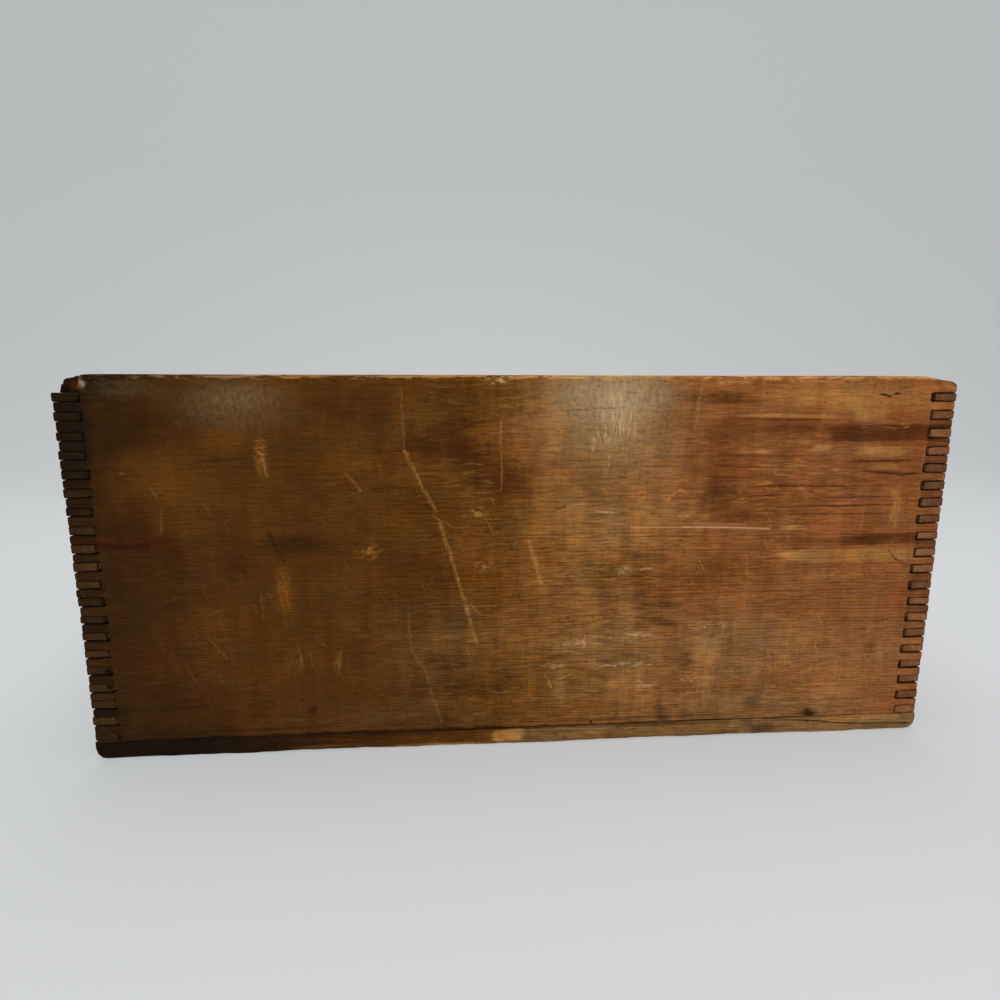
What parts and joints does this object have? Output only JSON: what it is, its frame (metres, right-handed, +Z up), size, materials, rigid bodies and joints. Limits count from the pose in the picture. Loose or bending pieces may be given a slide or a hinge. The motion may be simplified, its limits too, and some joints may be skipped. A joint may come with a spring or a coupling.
{
  "type": "hinged-lid wooden box",
  "caption": "Worn wooden coffee box with finger-jointed corners, a nailed-on bottom and an inset lid that swings up on butt hinges along the back wall.",
  "frame": {"origin": "middle of the underside of the box", "axes": "+X along the front wall to the right as seen from the front, -Y out of the front wall, +Z up"},
  "size_m": [0.464, 0.3, 0.2088],
  "materials": {
    "wall_wood": "dark aged varnish, worn and scratched",
    "end_wood": "dark aged varnish, greyer end grain",
    "bottom_wood": "aged, worn bare in places",
    "lid_wood": "aged varnish, worn",
    "strip_wood": "bare, darkened with age",
    "hinge_iron": "dark aged iron",
    "nail_iron": "rusty iron",
    "screw_iron": "dark aged iron"
  },
  "bodies": {
    "box": {"front_wall": "wall_wood", "back_wall": "wall_wood", "left_end": "end_wood", "right_end": "end_wood", "bottom_front_board": "bottom_wood", "bottom_rear_board": "bottom_wood", "bottom_nails": "nail_iron", "lid_rest_left": "strip_wood", "lid_rest_right": "strip_wood", "rest_nails": "nail_iron", "hinge_box_leaf_left": "hinge_iron", "hinge_box_leaf_right": "hinge_iron", "hinge_pin_left": "hinge_iron", "hinge_pin_right": "hinge_iron", "box_leaf_screws": "screw_iron"},
    "lid": {"lid_front_board": "lid_wood", "lid_rear_board": "lid_wood", "lid_batten_left": "strip_wood", "lid_batten_right": "strip_wood", "batten_nails": "nail_iron", "hinge_lid_leaf_left": "hinge_iron", "hinge_lid_leaf_right": "hinge_iron", "lid_leaf_screws": "screw_iron"}
  },
  "joints": [
    {"name": "lid_hinge", "type": "hinge", "parent": "box", "child": "lid", "pos_m": [0, 0.1395, 0.2065], "axis": [-1, 0, 0], "range_deg": [0, 180]}
  ]
}
